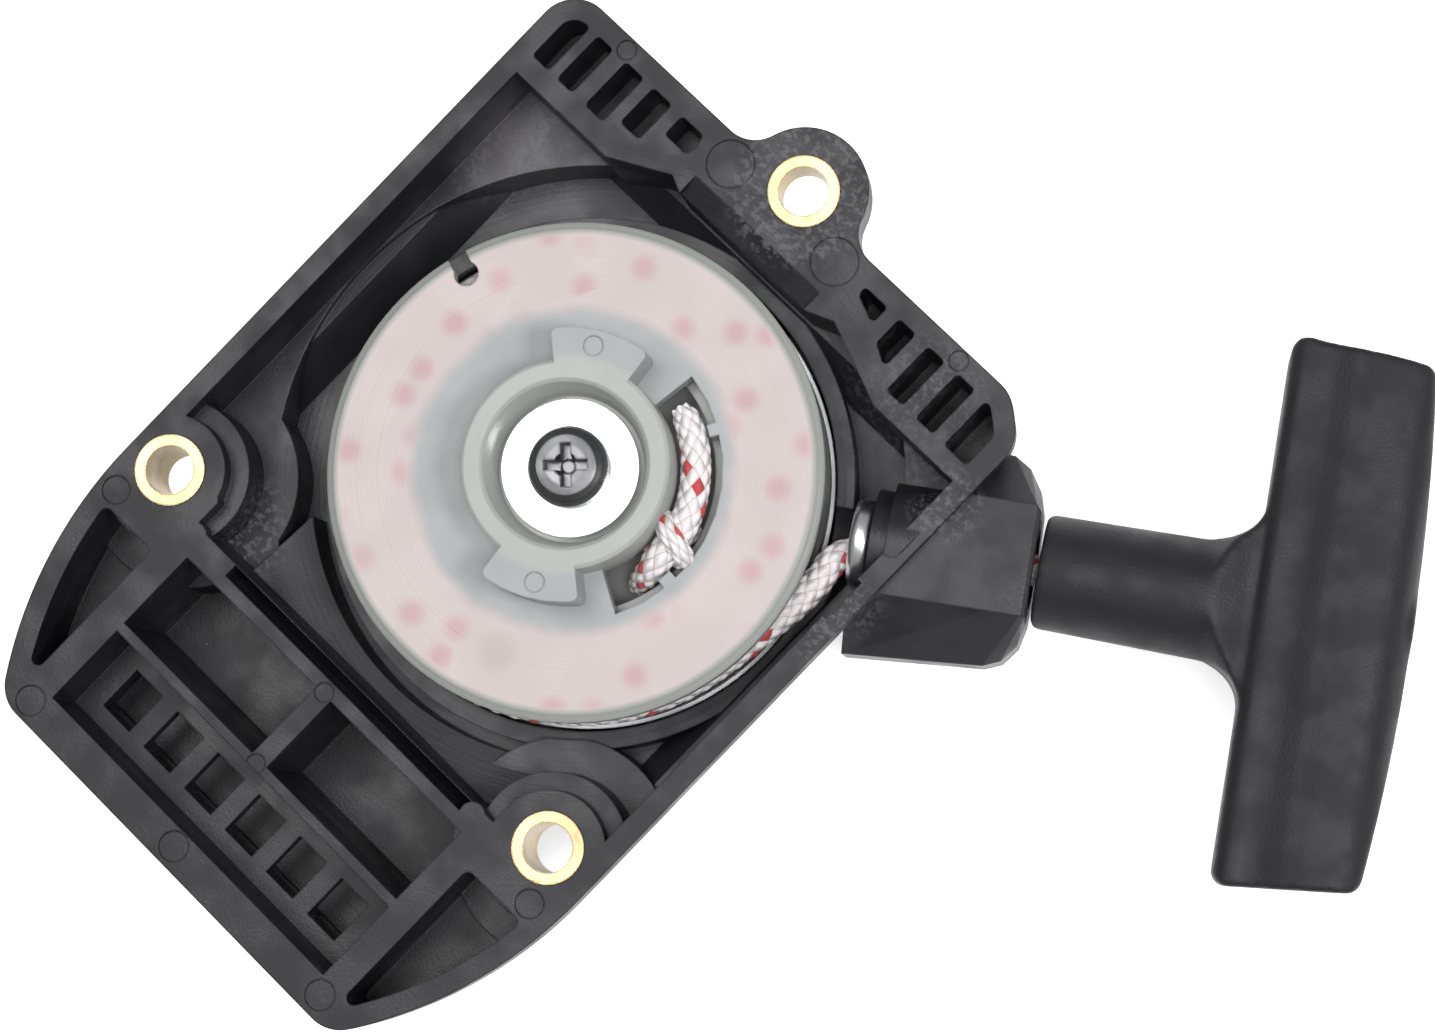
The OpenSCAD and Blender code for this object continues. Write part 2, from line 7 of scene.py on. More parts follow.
# %% Load the frame
import math
import bmesh
import bpy
from mathutils import Matrix, Vector


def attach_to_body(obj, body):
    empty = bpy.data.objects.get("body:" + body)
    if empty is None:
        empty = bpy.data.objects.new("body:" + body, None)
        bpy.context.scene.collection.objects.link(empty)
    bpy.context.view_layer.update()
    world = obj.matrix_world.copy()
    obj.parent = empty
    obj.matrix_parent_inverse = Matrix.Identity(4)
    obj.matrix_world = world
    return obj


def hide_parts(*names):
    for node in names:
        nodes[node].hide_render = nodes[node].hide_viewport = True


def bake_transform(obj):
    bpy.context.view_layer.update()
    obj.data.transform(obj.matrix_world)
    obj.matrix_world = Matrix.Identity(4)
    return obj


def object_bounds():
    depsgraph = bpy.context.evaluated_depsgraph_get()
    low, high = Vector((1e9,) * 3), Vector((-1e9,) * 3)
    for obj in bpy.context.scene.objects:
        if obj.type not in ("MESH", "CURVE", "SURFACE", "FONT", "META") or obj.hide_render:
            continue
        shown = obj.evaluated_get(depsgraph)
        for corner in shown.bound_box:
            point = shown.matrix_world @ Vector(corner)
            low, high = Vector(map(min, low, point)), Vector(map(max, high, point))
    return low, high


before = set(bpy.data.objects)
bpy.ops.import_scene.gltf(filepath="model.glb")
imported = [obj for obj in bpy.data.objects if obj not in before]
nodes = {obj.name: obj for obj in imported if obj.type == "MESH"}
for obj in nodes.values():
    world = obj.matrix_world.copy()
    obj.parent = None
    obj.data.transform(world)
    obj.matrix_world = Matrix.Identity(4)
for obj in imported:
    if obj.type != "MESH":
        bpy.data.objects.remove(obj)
MM = 0.001
cad_low, cad_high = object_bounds()
print("nodes", len(nodes), "box", [round(v / MM, 1) for v in cad_high - cad_low], "mm")

# %% [markdown]
# ## Camera
# A small part is looked at from straight above its open side, from about an arm's length.
# A longish lens keeps the rim's parallel sides parallel. The camera is turned about its own
# axis, so the grille points down to one corner and the rope handle up to the other.

# %% Camera
EYE = Vector((75.22, 10.46, 362.28)) * MM
TARGET = Vector((15.14, 7.40, 0.0)) * MM
CAMERA_ROLL = 0.774
LENS_MM = 84.57
SENSOR_MM = 36.0
camera_data = bpy.data.cameras.new("camera")
camera_data.lens = LENS_MM
camera_data.sensor_width = SENSOR_MM
camera = bpy.data.objects.new("camera", camera_data)
bpy.context.scene.collection.objects.link(camera)
back = (EYE - TARGET).normalized()
side = Vector((math.sin(-CAMERA_ROLL), math.cos(-CAMERA_ROLL), 0.0)).cross(back).normalized()
upward = back.cross(side)
camera.matrix_world = Matrix((
    (side.x, upward.x, back.x, EYE.x),
    (side.y, upward.y, back.y, EYE.y),
    (side.z, upward.z, back.z, EYE.z),
    (0.0, 0.0, 0.0, 1.0),
))
bpy.context.scene.camera = camera
print("camera distance", round((EYE - TARGET).length, 3), "m")

# %% [markdown]
# ## Node helpers
# Shader and geometry trees are both built from nodes and links. Short helpers keep the
# recipes readable: `put` adds a node, `calc` does arithmetic, `fade` makes a soft step,
# `paint` lays one colour over another, and `srgb` turns a screen colour into a linear one.
# `fill` is what they share: it either links a socket or sets its value.

# %% Node helpers
def fill(tree, socket, value):
    """Links another node's output to a socket, or sets the socket's own value."""
    if isinstance(value, bpy.types.NodeSocket):
        tree.links.new(value, socket)
    else:
        socket.default_value = value


def put(tree, kind, inputs=None, **options):
    """Adds a node with its options set and its inputs filled."""
    node = tree.nodes.new(kind)
    for option, value in options.items():
        setattr(node, option, value)
    for socket, value in (inputs or {}).items():
        fill(tree, node.inputs[socket], value)
    return node


def calc(tree, operation, *terms):
    """One Math node; returns its output."""
    node = put(tree, "ShaderNodeMath", operation=operation)
    for socket, term in zip(node.inputs, terms):
        fill(tree, socket, term)
    return node.outputs[0]


def fade(tree, value, start, end):
    """A soft step: 0 at start and 1 at end, in either direction."""
    limits = {"Value": value, "From Min": start, "From Max": end}
    node = put(tree, "ShaderNodeMapRange", limits, interpolation_type="SMOOTHSTEP")
    return node.outputs["Result"]


def paint(tree, mask, painted_shade_under_flange, over):
    """Lays the colour `over` on `painted_shade_under_flange` where the mask is 1."""
    node = put(tree, "ShaderNodeMix", data_type="RGBA")
    fill(tree, node.inputs[0], mask)
    fill(tree, node.inputs[6], painted_shade_under_flange)
    fill(tree, node.inputs[7], over)
    return node.outputs[2]


def srgb(red, green, blue):
    """A colour on the usual 0 to 255 scale as Blender's linear colour."""
    return (*(((c / 255 + 0.055) / 1.055) ** 2.4 for c in (red, green, blue)), 1.0)


print("mid grey is", round(srgb(128, 128, 128)[0], 3))

# %% [markdown]
# ## Floor and light
# A white floor and a white sky give soft light from all round. A wide softbox hangs over the
# left side: flat nylon faces mirror it as a pale grey, while walls and hollows stay dark. A
# second lamp fills from the right, and a third, out beyond the handle, draws bright lines on
# the chrome and the brass. The floor glows a little, so that it stays white under them.

# %% Floor and light
WHITE = (1.0, 1.0, 1.0, 1.0)
FLOOR_HALF = 3.0
FLOOR_CORNERS = ((-1, -1), (1, -1), (1, 1), (-1, 1))
FLOOR_GAP = 0.1 * MM
FLOOR_GREY = 0.93
FLOOR_GLOW = 0.60
SKY_STRENGTH = 0.30
LAMPS = (  # name, place, aim and size in metres, power in watts
    ("softbox", (-0.24, -0.02, 0.85), (0.0, 0.0, 0.0), 0.42, 3.2),
    ("fill_lamp", (0.24, 0.02, 0.90), (0.0, 0.0, 0.0), 0.25, 2.4),
    ("edge_lamp", (0.46, 0.26, 0.72), (0.02, 0.0, 0.0), 0.20, 3.2),
)


def soft_lamp(name, place, aim, size, power):
    """A square softbox at `place` that shines on `aim`."""
    lamp_data = bpy.data.lights.new(name, "AREA")
    lamp_data.size = size
    lamp_data.energy = power
    lamp = bpy.data.objects.new(name, lamp_data)
    bpy.context.scene.collection.objects.link(lamp)
    lamp.location = place
    lamp.rotation_mode = "QUATERNION"
    lamp.rotation_quaternion = (Vector(place) - Vector(aim)).to_track_quat("Z", "Y")


floor_level = cad_low.z - FLOOR_GAP
floor_points = [(x * FLOOR_HALF, y * FLOOR_HALF, floor_level) for x, y in FLOOR_CORNERS]
floor_mesh = bpy.data.meshes.new("floor")
floor_mesh.from_pydata(floor_points, [], [(0, 1, 2, 3)])
floor = bpy.data.objects.new("floor", floor_mesh)
bpy.context.scene.collection.objects.link(floor)
floor_paint = bpy.data.materials.new("floor_paint")
floor_paint.use_nodes = True
floor_surface = floor_paint.node_tree.nodes["Principled BSDF"]
floor_surface.inputs["Base Color"].default_value = (FLOOR_GREY, FLOOR_GREY, FLOOR_GREY, 1.0)
floor_surface.inputs["Roughness"].default_value = 0.9
floor_surface.inputs["Emission Color"].default_value = WHITE
floor_surface.inputs["Emission Strength"].default_value = FLOOR_GLOW
floor_surface.inputs["Specular IOR Level"].default_value = 0.1
floor_mesh.materials.append(floor_paint)
sky = bpy.data.worlds.new("sky")
sky.use_nodes = True
sky_inputs = sky.node_tree.nodes["Background"].inputs
sky_inputs["Color"].default_value = WHITE
sky_inputs["Strength"].default_value = SKY_STRENGTH
bpy.context.scene.world = sky
bpy.context.scene.view_settings.view_transform = "Standard"
for lamp_values in LAMPS:
    soft_lamp(*lamp_values)
print("floor at", round(floor_level / MM, 2), "mm, lamps", len(LAMPS))

# %% [markdown]
# ## Shared surface effects
# Some effects show on more than one material, so each is a shader node group with named
# inputs: a fine moulding grain, speckled wear, a soft patch, turned rings and rope braid.
# The groups only put out masks, heights and roughness; the shader stays in its material.
# `effect` starts a group, and `use` places it in a material.

# %% Shader group helper
FLOAT = "NodeSocketFloat"
VECTOR = "NodeSocketVector"


def effect(name, inputs, outputs):
    """Starts a shader group with named inputs and outputs; returns its tree, inlet and outlet."""
    tree = bpy.data.node_groups.new(name, "ShaderNodeTree")
    for label, kind, value in inputs:
        tree.interface.new_socket(label, in_out="INPUT", socket_type=kind).default_value = value
    for label in outputs:
        tree.interface.new_socket(label, in_out="OUTPUT", socket_type=FLOAT)
    inlet = tree.nodes.new("NodeGroupInput").outputs
    outlet = tree.nodes.new("NodeGroupOutput").inputs
    return tree, inlet, outlet


def use(tree, group, **inputs):
    """Places a shader group in a material with its own values; returns its outputs."""
    node = tree.nodes.new("ShaderNodeGroup")
    node.node_tree = group
    for socket, value in inputs.items():
        fill(tree, node.inputs[socket], value)
    return node.outputs


print("shader group sockets are", FLOAT, "and", VECTOR)

# %% [markdown]
# ### Moulding grain
# A moulded skin is never quite even: it has a fine tooth, and its gloss wanders in broad
# clouds. One fine noise gives the height, and one broad noise mixes two roughness values.

# %% Moulding grain group
ORIGIN = (0.0, 0.0, 0.0)
CLOUD_SHARE = 0.06
grain, inlet, outlet = effect(
    "moulding_grain",
    [
        ("Place", VECTOR, ORIGIN),
        ("Size", FLOAT, 0.4 * MM),
        ("Smooth", FLOAT, 0.35),
        ("Rough", FLOAT, 0.5),
    ],
    ["Height", "Roughness"],
)
scale = calc(grain, "DIVIDE", 1.0, inlet["Size"])
fine = put(grain, "ShaderNodeTexNoise", {"Vector": inlet["Place"], "Scale": scale, "Detail": 3.0})
cloud_scale = calc(grain, "MULTIPLY", scale, CLOUD_SHARE)
broad = put(grain, "ShaderNodeTexNoise", {"Vector": inlet["Place"], "Scale": cloud_scale})
spread = fade(grain, broad.outputs["Fac"], 0.35, 0.65)
span = calc(grain, "SUBTRACT", inlet["Rough"], inlet["Smooth"])
fill(grain, outlet["Height"], fine.outputs["Fac"])
fill(grain, outlet["Roughness"], calc(grain, "MULTIPLY_ADD", spread, span, inlet["Smooth"]))
print("moulding grain has", len(grain.nodes), "nodes")

# %% [markdown]
# ### Speckled wear
# Scuffs, film and dust all break up into specks. A noise is cut off at a level, with a soft
# edge: the higher the cover, the lower the level and the more of the surface is marked. One
# group serves them all, because they differ only in size, cover and softness.

# %% Speckled wear group
speckle, inlet, outlet = effect(
    "speckled_wear",
    [
        ("Place", VECTOR, ORIGIN),
        ("Size", FLOAT, 0.6 * MM),
        ("Cover", FLOAT, 0.4),
        ("Soft", FLOAT, 0.08),
    ],
    ["Mask"],
)
scale = calc(speckle, "DIVIDE", 1.0, inlet["Size"])
flecks = put(speckle, "ShaderNodeTexNoise", {
    "Vector": inlet["Place"], "Scale": scale, "Detail": 4.0, "Roughness": 0.65,
})
edge = calc(speckle, "SUBTRACT", 1.0, inlet["Cover"])
full = calc(speckle, "ADD", edge, inlet["Soft"])
fill(speckle, outlet["Mask"], fade(speckle, flecks.outputs["Fac"], edge, full))


def flecked(tree, place, size, cover, soft):
    """The mask of speckled wear in a material, with its size in millimetres."""
    return use(tree, speckle, Place=place, Size=size * MM, Cover=cover, Soft=soft)["Mask"]


print("speckled wear has", len(speckle.nodes), "nodes")

# %% [markdown]
# ### Soft patch
# Wear sits where hands and tools reach. A patch is the distance to one point, faded out
# over an edge, and it holds another effect to that place. It is simpler than painting a
# mask by hand, and it moves with one set of numbers.

# %% Soft patch group
patch, inlet, outlet = effect(
    "soft_patch",
    [
        ("Place", VECTOR, ORIGIN),
        ("Centre", VECTOR, ORIGIN),
        ("Radius", FLOAT, 3.0 * MM),
        ("Edge", FLOAT, 2.0 * MM),
    ],
    ["Mask"],
)
ends = {0: inlet["Place"], 1: inlet["Centre"]}
distance = put(patch, "ShaderNodeVectorMath", ends, operation="DISTANCE")
outside = calc(patch, "ADD", inlet["Radius"], inlet["Edge"])
fill(patch, outlet["Mask"], fade(patch, distance.outputs["Value"], outside, inlet["Radius"]))


def patched(tree, place, centre, radius, edge):
    """The mask of one soft patch in a material, all in millimetres."""
    return use(
        tree, patch, Place=place, Centre=Vector(centre) * MM, Radius=radius * MM, Edge=edge * MM,
    )["Mask"]


print("soft patch has", len(patch.nodes), "nodes")

# %% [markdown]
# ### Turned rings
# A lathe, or a mould cut on one, leaves fine rings round the axis. A noise that depends only
# on the distance from the axis gives them, and no two rings are alike. The distance itself
# is an output too, because several colours follow it.

# %% Turned rings group
rings, inlet, outlet = effect(
    "turned_rings",
    [("Place", VECTOR, ORIGIN), ("Spacing", FLOAT, 0.4 * MM)],
    ["Height", "Radius"],
)
axes = put(rings, "ShaderNodeSeparateXYZ", {"Vector": inlet["Place"]})
flat = put(rings, "ShaderNodeCombineXYZ", {"X": axes.outputs["X"], "Y": axes.outputs["Y"]})
length = put(rings, "ShaderNodeVectorMath", {0: flat.outputs["Vector"]}, operation="LENGTH")
turn = calc(rings, "DIVIDE", length.outputs["Value"], inlet["Spacing"])
groove = put(
    rings, "ShaderNodeTexNoise", {"W": turn, "Scale": 1.0, "Detail": 2.0}, noise_dimensions="1D",
)
fill(rings, outlet["Height"], groove.outputs["Fac"])
fill(rings, outlet["Radius"], length.outputs["Value"])
print("shader groups", [g.name for g in bpy.data.node_groups])

# %% [markdown]
# ## Rope braid
# The rope is a tube of twelve strands: six run round it one way, six the other, each passing
# over and under. Counting strands both ways gives two numbers, a and b. Where their whole
# parts add up to an odd number, the a strand is on top, and otherwise the b strand. One
# strand of the a set is the coloured tracer. The same recipe shapes the mesh in Geometry
# Nodes and the colour in the shader, since both trees have Math nodes.

# %% Braid recipe
TAU = 2 * math.pi
STRAND_FULLNESS = 0.6
STRAND_DIP = 0.5


def braid(tree, cosine, sine, along, strands, pitch):
    """(height 0 to 1, tracer mask) of a plain braid at an angle and a length along the rope."""
    part_turn = calc(tree, "DIVIDE", calc(tree, "ARCTAN2", sine, cosine), TAU)
    turns = calc(tree, "MULTIPLY", part_turn, strands)
    steps = calc(tree, "DIVIDE", along, pitch)
    count_a = calc(tree, "ADD", turns, steps)
    count_b = calc(tree, "SUBTRACT", turns, steps)
    whole_a = calc(tree, "FLOOR", count_a)
    whole_b = calc(tree, "FLOOR", count_b)
    on_top = calc(tree, "FLOORED_MODULO", calc(tree, "ADD", whole_a, whole_b), 2.0)
    bow_a = calc(tree, "ABSOLUTE", calc(tree, "SINE", calc(tree, "MULTIPLY", count_a, math.pi)))
    bow_b = calc(tree, "ABSOLUTE", calc(tree, "SINE", calc(tree, "MULTIPLY", count_b, math.pi)))
    shown_a = calc(tree, "MULTIPLY", on_top, bow_a)
    shown_b = calc(tree, "MULTIPLY", calc(tree, "SUBTRACT", 1.0, on_top), bow_b)
    across = calc(tree, "POWER", calc(tree, "ADD", shown_a, shown_b), STRAND_FULLNESS)
    middle = calc(tree, "MULTIPLY", bow_a, bow_b)
    lengthwise = calc(tree, "MULTIPLY_ADD", middle, STRAND_DIP, 1.0 - STRAND_DIP)
    height = calc(tree, "MULTIPLY", across, lengthwise)
    first = calc(tree, "LESS_THAN", calc(tree, "FLOORED_MODULO", whole_a, strands), 0.5)
    return height, calc(tree, "MULTIPLY", first, on_top)


print("a strand dips by", STRAND_DIP, "of its height where it goes under")

# %% [markdown]
# ### Rope braid group
# The shader wants the same braid as the mesh, so this group wraps the recipe. It takes the
# angle as a cosine and a sine, because those don't jump where the angle starts again.

# %% Rope braid group
STRANDS = 6.0
PITCH = 2.1 * MM
weave, inlet, outlet = effect(
    "rope_braid",
    [("Cosine", FLOAT, 1.0), ("Sine", FLOAT, 0.0), ("Along", FLOAT, 0.0)],
    ["Height", "Tracer"],
)
height, tracer = braid(weave, inlet["Cosine"], inlet["Sine"], inlet["Along"], STRANDS, PITCH)
fill(weave, outlet["Height"], height)
fill(weave, outlet["Tracer"], tracer)
print("braid pitch", PITCH / MM, "mm")

# %% [markdown]
# ## Materials
# Each finish starts from one Principled shader. `finish_base` sets the constant values on the
# shader's own sockets, and what changes over the surface is linked in after it.
# Sharp CAD edges would look cut from paper, so a Bevel node rounds their shading a little.

# %% Material helper
def finish_base(name, colour, roughness, metallic=0.0, specular=0.5):
    """A new material; returns it, its tree, its shader and the object's own coordinates."""
    material = bpy.data.materials.new(name)
    material.use_nodes = True
    tree = material.node_tree
    shader = tree.nodes["Principled BSDF"]
    shader.inputs["Base Color"].default_value = colour
    shader.inputs["Roughness"].default_value = roughness
    shader.inputs["Metallic"].default_value = metallic
    shader.inputs["Specular IOR Level"].default_value = specular
    place = tree.nodes.new("ShaderNodeTexCoord").outputs["Object"]
    return material, tree, shader, place


def relief(tree, shader, height, depth, edge=0.0):
    """Bump of that real depth in metres, over edges rounded to the radius `edge`."""
    bump = put(tree, "ShaderNodeBump", {"Height": height, "Distance": depth, "Strength": 1.0})
    if edge:
        rounded = put(tree, "ShaderNodeBevel", {"Radius": edge}, samples=4)
        tree.links.new(rounded.outputs["Normal"], bump.inputs["Normal"])
    tree.links.new(bump.outputs["Normal"], shader.inputs["Normal"])


def most(tree, *masks):
    """The strongest of several masks at each point."""
    total = masks[0]
    for mask in masks[1:]:
        total = calc(tree, "MAXIMUM", total, mask)
    return total


def zone(tree, value, limits):
    """A soft step between two limits given in millimetres."""
    start, end = limits
    return fade(tree, value, start * MM, end * MM)


print("materials before the first finish", len(bpy.data.materials))

# %% [markdown]
# ### Housing nylon
# The housing is glass-filled nylon: near black, with a satin skin. Handling has scuffed the
# ear, the right rim and the raised floors to a pale grey speckle, the dish shows the marks of
# a turned mould, and a few pale specks of dust lie scattered over it all. The dish is painted
# a paler grey deeper down, and a soft pale patch on the raised floor at the upper left is a
# painted highlight.

# %% Housing nylon
housing_nylon, tree, shader, place = finish_base("housing_nylon", srgb(30, 29, 33), 0.42, specular=0.42)
skin = use(tree, grain, Place=place, Size=0.35 * MM, Smooth=0.36, Rough=0.52)
turned = use(tree, rings, Place=place, Spacing=0.55 * MM)
DUST_WHITE = srgb(190, 188, 190)
SCUFFED = [  # centre, radius and edge in millimetres
    ((-3.0, 39.5, 0.0), 6.5, 3.0),
    ((32.2, 25.5, 0.0), 2.6, 2.6),
    ((31.5, 8.0, 0.0), 2.5, 5.0),
    ((-31.0, 22.0, -9.0), 5.0, 6.0),
    ((22.0, 33.0, -10.0), 9.0, 4.0),
    ((-25.0, -31.0, -9.0), 3.0, 5.0),
]
DISH_RADIUS = (37.0, 35.0)
DISH_DEPTH = (-2.5, -6.0)
LIT_FLOOR_PATCH = ((-30.0, 23.0, -9.0), 5.0, 7.0)
scuff = calc(
    tree, "MULTIPLY", most(tree, *(patched(tree, place, *where) for where in SCUFFED)),
    flecked(tree, place, size=0.8, cover=0.52, soft=0.12),
)
light_wear = calc(tree, "MULTIPLY", flecked(tree, place, size=1.6, cover=0.42, soft=0.2), 0.35)
dust = flecked(tree, place, size=0.9, cover=0.245, soft=0.02)
colour = paint(tree, light_wear, srgb(27, 26, 31), srgb(40, 39, 45))
depth = put(tree, "ShaderNodeSeparateXYZ", {"Vector": place}).outputs["Z"]
in_dish = zone(tree, turned["Radius"], DISH_RADIUS)
# The deeper part of the dish is painted a paler grey.
paler_deep_dish = calc(tree, "MULTIPLY", zone(tree, depth, DISH_DEPTH), in_dish)
colour = paint(tree, paler_deep_dish, colour, srgb(50, 49, 53))
# Painted highlight: a soft pale patch on the raised floor at the upper left.
pale = calc(tree, "MULTIPLY", patched(tree, place, *LIT_FLOOR_PATCH), 0.8)
colour = paint(tree, pale, colour, srgb(78, 76, 84))
colour = paint(tree, scuff, colour, srgb(84, 82, 85))
colour = paint(tree, dust, colour, DUST_WHITE)
fill(tree, shader.inputs["Base Color"], colour)
fill(tree, shader.inputs["Roughness"], calc(tree, "MULTIPLY_ADD", scuff, 0.15, skin["Roughness"]))
ring_marks = calc(tree, "MULTIPLY", calc(tree, "MULTIPLY", turned["Height"], in_dish), 0.6)
marks = calc(tree, "MULTIPLY_ADD", skin["Height"], 0.5, ring_marks)
relief(tree, shader, marks, 0.05 * MM, edge=0.28 * MM)
print("housing nylon has", len(SCUFFED), "worn patches")

# %% [markdown]
# ### Handle nylon
# The grip is plain nylon with an even matt grain. Broad, faint clouds of a paler grey are
# where fingers have rubbed it, and a few specks of dust have settled on it.

# %% Handle nylon
handle_nylon, tree, shader, place = finish_base("handle_nylon", srgb(34, 33, 37), 0.5, specular=0.30)
skin = use(tree, grain, Place=place, Size=0.30 * MM, Smooth=0.46, Rough=0.60)
worn = calc(tree, "MULTIPLY", flecked(tree, place, size=2.4, cover=0.5, soft=0.25), 0.25)
dust = flecked(tree, place, size=0.8, cover=0.24, soft=0.02)
colour = paint(tree, worn, srgb(32, 31, 35), srgb(42, 40, 45))
fill(tree, shader.inputs["Base Color"], paint(tree, dust, colour, srgb(150, 148, 150)))
fill(tree, shader.inputs["Roughness"], skin["Roughness"])
relief(tree, shader, skin["Height"], 0.045 * MM)
print("handle nylon has", len(tree.nodes), "nodes")

# %% [markdown]
# ### Reel nylon
# The reel is unfilled nylon, milky and slightly grey. Its flange is stained a warm white with
# soft pink spots where the rope's tracer shows through, the hub is greyer, and the outer
# edge is greenish. The colours follow the distance from the axis, so they are painted by
# radius, and each border is a soft step between two radii.
# Deep down, outside the drum, a dark grey is painted shade under the flange.

# %% Reel nylon
reel_nylon, tree, shader, place = finish_base("reel_nylon", srgb(205, 200, 198), 0.42, specular=0.35)
HUB = (12.4, 11.4)
STAIN = (16.8, 19.0)
SPOTS_START = (17.2, 19.5)
SPOTS_STOP = (26.8, 25.8)
OUTER_EDGE = (26.1, 26.8)
RINGED = (16.0, 18.0)
TOP_FACE = (-1.2, -0.4)
SHADE_RADIUS = (17.5, 19.0)
SHADE_DEPTH = (-2.6, -8.0)
BROWN_MARK = ((8.0, -20.0, 0.0), 0.8, 2.4)
turned = use(tree, rings, Place=place, Spacing=0.30 * MM)
radius = turned["Radius"]
height_z = put(tree, "ShaderNodeSeparateXYZ", {"Vector": place}).outputs["Z"]
clouds = put(tree, "ShaderNodeTexNoise", {"Vector": place, "Scale": 140.0, "Detail": 3.0})
cloud = clouds.outputs["Fac"]
wobble = calc(tree, "MULTIPLY_ADD", cloud, 2.0 * MM, -1.0 * MM)
stained_radius = calc(tree, "ADD", radius, wobble)
stained = zone(tree, stained_radius, STAIN)
cells = {"Vector": place, "Scale": 165.0, "Randomness": 0.95}
spots = put(tree, "ShaderNodeTexVoronoi", cells, voronoi_dimensions="2D").outputs
spot_choice = put(tree, "ShaderNodeSeparateXYZ", {"Vector": spots["Color"]}).outputs["X"]
chosen = fade(tree, spot_choice, 0.10, 0.45)
spot = calc(tree, "MULTIPLY", fade(tree, spots["Distance"], 0.36, 0.06), chosen)
from_inside = zone(tree, stained_radius, SPOTS_START)
in_band = calc(tree, "MULTIPLY", from_inside, zone(tree, radius, SPOTS_STOP))
pink = calc(tree, "MULTIPLY", calc(tree, "MULTIPLY", spot, in_band), 0.40)
brown = calc(tree, "MULTIPLY", patched(tree, place, *BROWN_MARK), 0.2)
hub_grey = paint(tree, cloud, srgb(160, 165, 160), srgb(176, 179, 175))
# Painted shade: deep down and outside the drum, the reel is painted a dark grey for the flange's
# underside in shadow.
painted_shade_under_flange = calc(tree, "MULTIPLY", zone(tree, height_z, SHADE_DEPTH), zone(tree, radius, SHADE_RADIUS))
colour = paint(tree, cloud, srgb(152, 156, 158), srgb(166, 169, 171))
colour = paint(tree, stained, colour, srgb(195, 184, 182))
colour = paint(tree, pink, colour, srgb(186, 112, 124))
colour = paint(tree, zone(tree, radius, OUTER_EDGE), colour, srgb(152, 155, 150))
colour = paint(tree, zone(tree, radius, HUB), colour, hub_grey)
colour = paint(tree, brown, colour, srgb(150, 130, 110))
colour = paint(tree, zone(tree, height_z, TOP_FACE), srgb(168, 170, 168), colour)
colour = paint(tree, painted_shade_under_flange, colour, srgb(84, 86, 84))
fill(tree, shader.inputs["Base Color"], colour)
skin = use(tree, grain, Place=place, Size=0.5 * MM, Smooth=0.34, Rough=0.5)
fill(tree, shader.inputs["Roughness"], skin["Roughness"])
face_rings = calc(tree, "MULTIPLY", turned["Height"], zone(tree, radius, RINGED))
marks = calc(tree, "MULTIPLY_ADD", skin["Height"], 0.5, face_rings)
relief(tree, shader, marks, 0.035 * MM, edge=0.3 * MM)
shader.inputs["Subsurface Weight"].default_value = 0.12
shader.inputs["Subsurface Radius"].default_value = (1.0, 0.9, 0.8)
shader.inputs["Subsurface Scale"].default_value = 0.7 * MM
print("reel nylon has", len(tree.nodes), "nodes")

# %% [markdown]
# ### Metals
# Brass collars, a satin chromed eyelet, bright zinc washers, a darker zinc screw, and steel
# for the spring, its case and its cover. A metal's colour is all in its reflections, so one
# recipe serves them: two close tints in a cloudy film, a wandering roughness, and fine
# turning marks. A table holds what differs.

# %% Metal helper and metals
def metal(name, pale, dull, smooth, rough, spacing, depth, edge):
    """A metal whose tint wanders between two colours, with turning marks of that spacing."""
    material, tree, shader, place = finish_base(name, srgb(*pale), rough, metallic=1.0)
    skin = use(tree, grain, Place=place, Size=0.45 * MM, Smooth=smooth, Rough=rough)
    film = flecked(tree, place, size=1.8, cover=0.5, soft=0.3)
    fill(tree, shader.inputs["Base Color"], paint(tree, film, srgb(*pale), srgb(*dull)))
    fill(tree, shader.inputs["Roughness"], skin["Roughness"])
    turned_marks = use(tree, rings, Place=place, Spacing=spacing * MM)["Height"]
    marks = calc(tree, "MULTIPLY_ADD", skin["Height"], 0.4, turned_marks)
    relief(tree, shader, marks, depth * MM, edge=edge * MM)
    return material


METALS = {  # pale, dull, smooth, rough, and ring spacing, depth and edge in millimetres
    "collar_brass": ((188, 166, 126), (150, 128, 96), 0.26, 0.40, 0.2, 0.006, 0.25),
    "eyelet_chrome": ((232, 234, 238), (214, 216, 222), 0.20, 0.30, 0.3, 0.002, 0.0),
    "zinc_plate": ((246, 246, 246), (236, 236, 238), 0.20, 0.32, 0.22, 0.006, 0.15),
    "screw_zinc": ((106, 106, 108), (84, 84, 88), 0.26, 0.38, 0.25, 0.008, 0.35),
    "pressed_steel": ((92, 92, 98), (70, 70, 74), 0.36, 0.50, 0.4, 0.008, 0.2),
    "cover_steel": ((232, 232, 234), (204, 204, 208), 0.45, 0.60, 0.3, 0.010, 0.2),
    "spring_steel": ((120, 122, 136), (96, 92, 96), 0.26, 0.40, 0.5, 0.004, 0.0),
}
metals = {name: metal(name, *values) for name, values in METALS.items()}
print("metals", len(metals))

# %% [markdown]
# ### Rope
# White polyester with one red tracer strand. On the mesh made by the cord tree, the pattern
# follows an attribute that holds the angle and the length along the rope. The straight stretch
# between the guide and the handle reads object coordinates instead, turned to the direction of
# the pull, so the strands keep their size at any pull.

# %% Rope material
PULL_ANGLE = math.radians(34.8)
PULL_ORIGIN = Vector((43.95, 27.5, -7.0)) * MM
FIBRE_SCALE = 5200.0
STRAND_BUMP = 0.22 * MM


